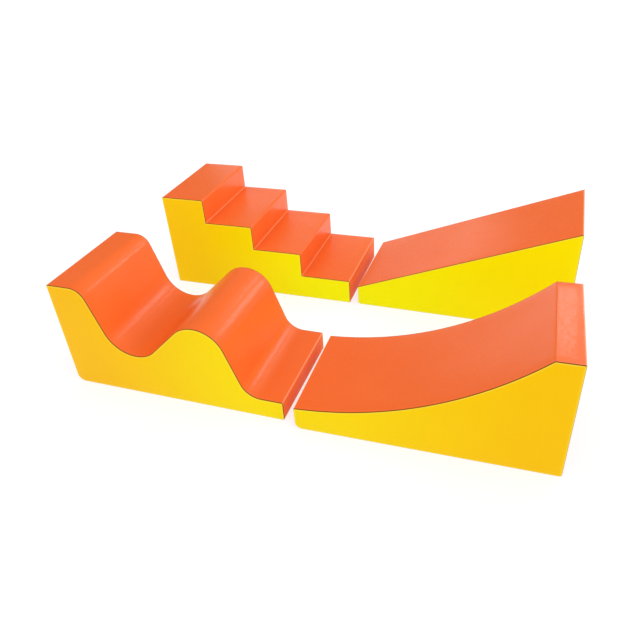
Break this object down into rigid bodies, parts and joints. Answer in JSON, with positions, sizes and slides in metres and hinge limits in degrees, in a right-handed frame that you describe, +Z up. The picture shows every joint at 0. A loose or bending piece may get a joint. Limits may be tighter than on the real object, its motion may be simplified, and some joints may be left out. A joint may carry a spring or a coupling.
{
  "type": "soft play foam climber",
  "caption": "Soft play set of vinyl-covered foam blocks: a wave, a slide, a flight of steps and a ramp, in two rows, to climb, crawl and slide on.",
  "frame": {"origin": "middle of the footprint of the whole set, on the floor", "axes": "+X along the blocks, from the high ends of the wave and the steps to the high ends of the slide and the ramp; +Y from the front row to the back row; +Z up"},
  "size_m": [2.4674, 1.7202, 0.6],
  "materials": {
    "orange_vinyl": "satin",
    "yellow_vinyl": "satin",
    "base_vinyl": "matte",
    "foam": "matte",
    "zip_tape": "matte",
    "zip_metal": "satin"
  },
  "bodies": {
    "wave_block": {"wave_foam_core": "foam", "wave_top_panel": "orange_vinyl", "wave_high_end_panel": "orange_vinyl", "wave_low_end_panel": "orange_vinyl", "wave_front_panel": "yellow_vinyl", "wave_back_panel": "yellow_vinyl", "wave_back_hem": "yellow_vinyl", "wave_base_panel": "base_vinyl", "wave_zip_upper_tape": "zip_tape", "wave_zip_lower_tape": "zip_tape"},
    "slide_block": {"slide_foam_core": "foam", "slide_top_panel": "orange_vinyl", "slide_high_end_panel": "orange_vinyl", "slide_low_end_panel": "orange_vinyl", "slide_front_panel": "yellow_vinyl", "slide_back_panel": "yellow_vinyl", "slide_back_hem": "yellow_vinyl", "slide_base_panel": "base_vinyl", "slide_zip_upper_tape": "zip_tape", "slide_zip_lower_tape": "zip_tape"},
    "steps_block": {"steps_foam_core": "foam", "steps_tread_panel_1": "orange_vinyl", "steps_tread_panel_2": "orange_vinyl", "steps_tread_panel_3": "orange_vinyl", "steps_tread_panel_4": "orange_vinyl", "steps_high_end_panel": "orange_vinyl", "steps_low_end_panel": "orange_vinyl", "steps_front_panel": "yellow_vinyl", "steps_back_panel": "yellow_vinyl", "steps_back_hem": "yellow_vinyl", "steps_base_panel": "base_vinyl", "steps_zip_upper_tape": "zip_tape", "steps_zip_lower_tape": "zip_tape"},
    "ramp_block": {"ramp_foam_core": "foam", "ramp_top_panel": "orange_vinyl", "ramp_high_end_panel": "orange_vinyl", "ramp_low_end_panel": "orange_vinyl", "ramp_front_panel": "yellow_vinyl", "ramp_back_panel": "yellow_vinyl", "ramp_back_hem": "yellow_vinyl", "ramp_base_panel": "base_vinyl", "ramp_zip_upper_tape": "zip_tape", "ramp_zip_lower_tape": "zip_tape"},
    "wave_slider": {"wave_zip_slider": "zip_metal"},
    "wave_puller": {"wave_zip_puller": "zip_metal"},
    "slide_slider": {"slide_zip_slider": "zip_metal"},
    "slide_puller": {"slide_zip_puller": "zip_metal"},
    "steps_slider": {"steps_zip_slider": "zip_metal"},
    "steps_puller": {"steps_zip_puller": "zip_metal"},
    "ramp_slider": {"ramp_zip_slider": "zip_metal"},
    "ramp_puller": {"ramp_zip_puller": "zip_metal"}
  },
  "joints": [
    {"name": "slide_push", "type": "slide", "parent": "wave_block", "child": "slide_block", "axis": [1, 0, 0], "range_m": [-0.05, 0.5]},
    {"name": "steps_push", "type": "slide", "parent": "wave_block", "child": "steps_block", "axis": [0, 1, 0], "range_m": [-0.46, 0.5]},
    {"name": "ramp_push", "type": "slide", "parent": "steps_block", "child": "ramp_block", "axis": [1, 0, 0], "range_m": [-0.047, 0.5]},
    {"name": "wave_zip_travel", "type": "slide", "parent": "wave_block", "child": "wave_slider", "axis": [1, 0, 0], "range_m": [0, 1.065]},
    {"name": "wave_puller_swing", "type": "hinge", "parent": "wave_slider", "child": "wave_puller", "pos_m": [-1.16643, -0.22439, 0.032], "axis": [0, 0, 1], "range_deg": [0, 180]},
    {"name": "slide_zip_travel", "type": "slide", "parent": "slide_block", "child": "slide_slider", "axis": [0.9998, 0.0201, 0], "range_m": [0, 1.065]},
    {"name": "slide_puller_swing", "type": "hinge", "parent": "slide_slider", "child": "slide_puller", "pos_m": [0.08917, -0.25656, 0.032], "axis": [0, 0, 1], "range_deg": [0, 180]},
    {"name": "steps_zip_travel", "type": "slide", "parent": "steps_block", "child": "steps_slider", "axis": [1, 0.0044, 0], "range_m": [0, 1.065]},
    {"name": "steps_puller_swing", "type": "hinge", "parent": "steps_slider", "child": "steps_puller", "pos_m": [-1.16116, 0.8522, 0.032], "axis": [0, 0, 1], "range_deg": [0, 180]},
    {"name": "ramp_zip_travel", "type": "slide", "parent": "ramp_block", "child": "ramp_slider", "axis": [1, -0.0093, 0], "range_m": [0, 1.065]},
    {"name": "ramp_puller_swing", "type": "hinge", "parent": "ramp_slider", "child": "ramp_puller", "pos_m": [0.09964, 0.85786, 0.032], "axis": [0, 0, 1], "range_deg": [0, 180]}
  ]
}
